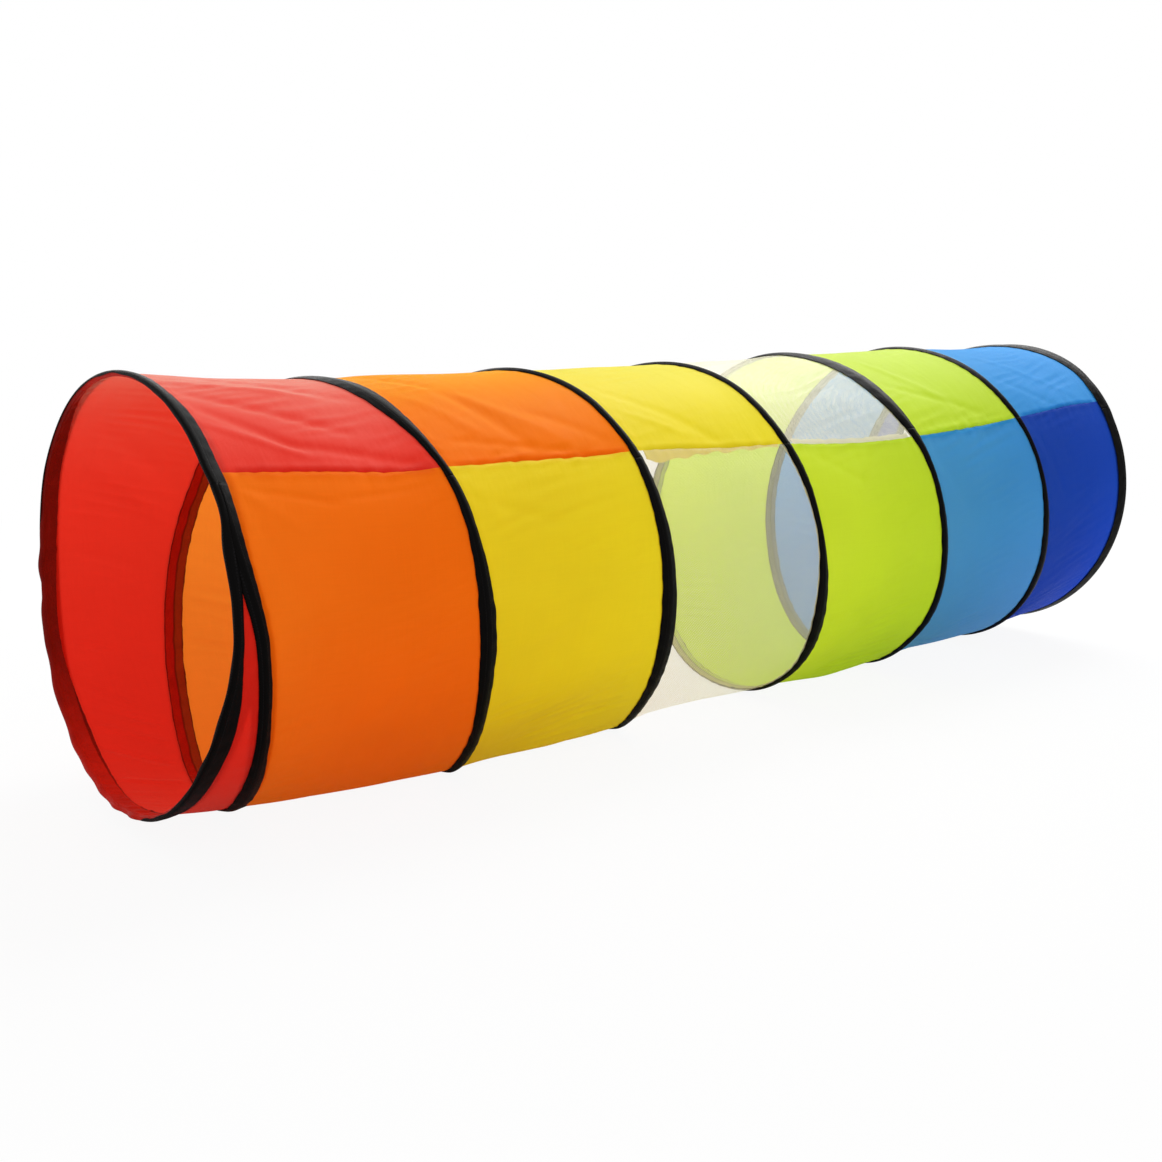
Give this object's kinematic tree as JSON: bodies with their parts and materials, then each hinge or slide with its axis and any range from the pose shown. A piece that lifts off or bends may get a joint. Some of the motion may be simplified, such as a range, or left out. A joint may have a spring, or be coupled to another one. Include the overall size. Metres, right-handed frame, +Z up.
{
  "type": "play tunnel",
  "caption": "Pop-up crawl tunnel: a sprung wire coil between two end hoops, under striped fabric with a see-through net band; it folds flat into a disc.",
  "frame": {"origin": "on the floor, under the middle of the tunnel", "axes": "+X along the tunnel from the near end to the far end, +Z up; the lengthwise seam is on the -Y side"},
  "size_m": [1.65, 0.48, 0.48],
  "materials": {
    "spring_steel": "bright drawn spring wire",
    "black_tape": "matt woven polyester tape",
    "red_fabric": "thin woven polyester, slightly glossy",
    "red_hem": "doubled polyester hem, darker than its panel",
    "orange_fabric": "thin woven polyester, slightly glossy",
    "orange_hem": "doubled polyester hem, darker than its panel",
    "yellow_fabric": "thin woven polyester, slightly glossy",
    "yellow_hem": "doubled polyester hem, darker than its panel",
    "mesh_fabric": "open polyester net",
    "mesh_hem": "doubled polyester hem, darker than its panel",
    "lime_fabric": "thin woven polyester, slightly glossy",
    "lime_hem": "doubled polyester hem, darker than its panel",
    "light_blue_fabric": "thin woven polyester, slightly glossy",
    "light_blue_hem": "doubled polyester hem, darker than its panel",
    "dark_blue_fabric": "thin woven polyester, slightly glossy",
    "dark_blue_hem": "doubled polyester hem, darker than its panel"
  },
  "bodies": {
    "near_end": {"near_hoop_wire": "spring_steel", "near_ferrule": "spring_steel", "near_hoop_binding": "black_tape", "near_hoop_hem": "red_hem", "red_panel": "red_fabric", "coil_wire": "spring_steel"},
    "turn_1": {"coil_binding_1": "black_tape", "coil_hem_1": "red_hem", "seam_allowance_1": "red_fabric", "orange_panel": "orange_fabric"},
    "turn_2": {"coil_binding_2": "black_tape", "coil_hem_2": "orange_hem", "seam_allowance_2": "orange_fabric", "yellow_panel": "yellow_fabric"},
    "turn_3": {"coil_binding_3": "black_tape", "coil_hem_3": "yellow_hem", "seam_allowance_3": "yellow_fabric", "mesh_panel": "mesh_fabric"},
    "turn_4": {"coil_binding_4": "black_tape", "coil_hem_4": "mesh_hem", "seam_allowance_4": "mesh_fabric", "lime_panel": "lime_fabric"},
    "turn_5": {"coil_binding_5": "black_tape", "coil_hem_5": "lime_hem", "seam_allowance_5": "lime_fabric", "light_blue_panel": "light_blue_fabric"},
    "turn_6": {"coil_binding_6": "black_tape", "coil_hem_6": "light_blue_hem", "seam_allowance_6": "light_blue_fabric"},
    "far_end": {"far_hoop_wire": "spring_steel", "far_ferrule": "spring_steel", "far_hoop_binding": "black_tape", "far_hoop_hem": "dark_blue_hem", "dark_blue_panel": "dark_blue_fabric"}
  },
  "joints": [
    {"name": "collapse", "type": "slide", "parent": "near_end", "child": "far_end", "axis": [-1, 0, 0], "range_m": [0, 1.575], "stiffness_N_per_m": 1.2, "springref_m": -0.8, "deforming": ["coil_wire", "red_panel", "dark_blue_panel"]},
    {"name": "turn_1_slide", "type": "slide", "parent": "near_end", "child": "turn_1", "axis": [-1, 0, 0], "range_m": [0, 0.1317], "deforming": ["coil_binding_1", "coil_hem_1", "seam_allowance_1", "orange_panel"]},
    {"name": "turn_2_slide", "type": "slide", "parent": "near_end", "child": "turn_2", "axis": [-1, 0, 0], "range_m": [0, 0.3942], "deforming": ["coil_binding_2", "coil_hem_2", "seam_allowance_2", "yellow_panel"]},
    {"name": "turn_3_slide", "type": "slide", "parent": "near_end", "child": "turn_3", "axis": [-1, 0, 0], "range_m": [0, 0.6568], "deforming": ["coil_binding_3", "coil_hem_3", "seam_allowance_3", "mesh_panel"]},
    {"name": "turn_4_slide", "type": "slide", "parent": "near_end", "child": "turn_4", "axis": [-1, 0, 0], "range_m": [0, 0.9192], "deforming": ["coil_binding_4", "coil_hem_4", "seam_allowance_4", "lime_panel"]},
    {"name": "turn_5_slide", "type": "slide", "parent": "near_end", "child": "turn_5", "axis": [-1, 0, 0], "range_m": [0, 1.1817], "deforming": ["coil_binding_5", "coil_hem_5", "seam_allowance_5", "light_blue_panel"]},
    {"name": "turn_6_slide", "type": "slide", "parent": "near_end", "child": "turn_6", "axis": [-1, 0, 0], "range_m": [0, 1.4443], "deforming": ["coil_binding_6", "coil_hem_6", "seam_allowance_6"]}
  ],
  "couplings": [
    {"joint": "turn_1_slide", "follows": "collapse", "ratio": 0.083333},
    {"joint": "turn_2_slide", "follows": "collapse", "ratio": 0.25},
    {"joint": "turn_3_slide", "follows": "collapse", "ratio": 0.41667},
    {"joint": "turn_4_slide", "follows": "collapse", "ratio": 0.58333},
    {"joint": "turn_5_slide", "follows": "collapse", "ratio": 0.75},
    {"joint": "turn_6_slide", "follows": "collapse", "ratio": 0.91667}
  ]
}
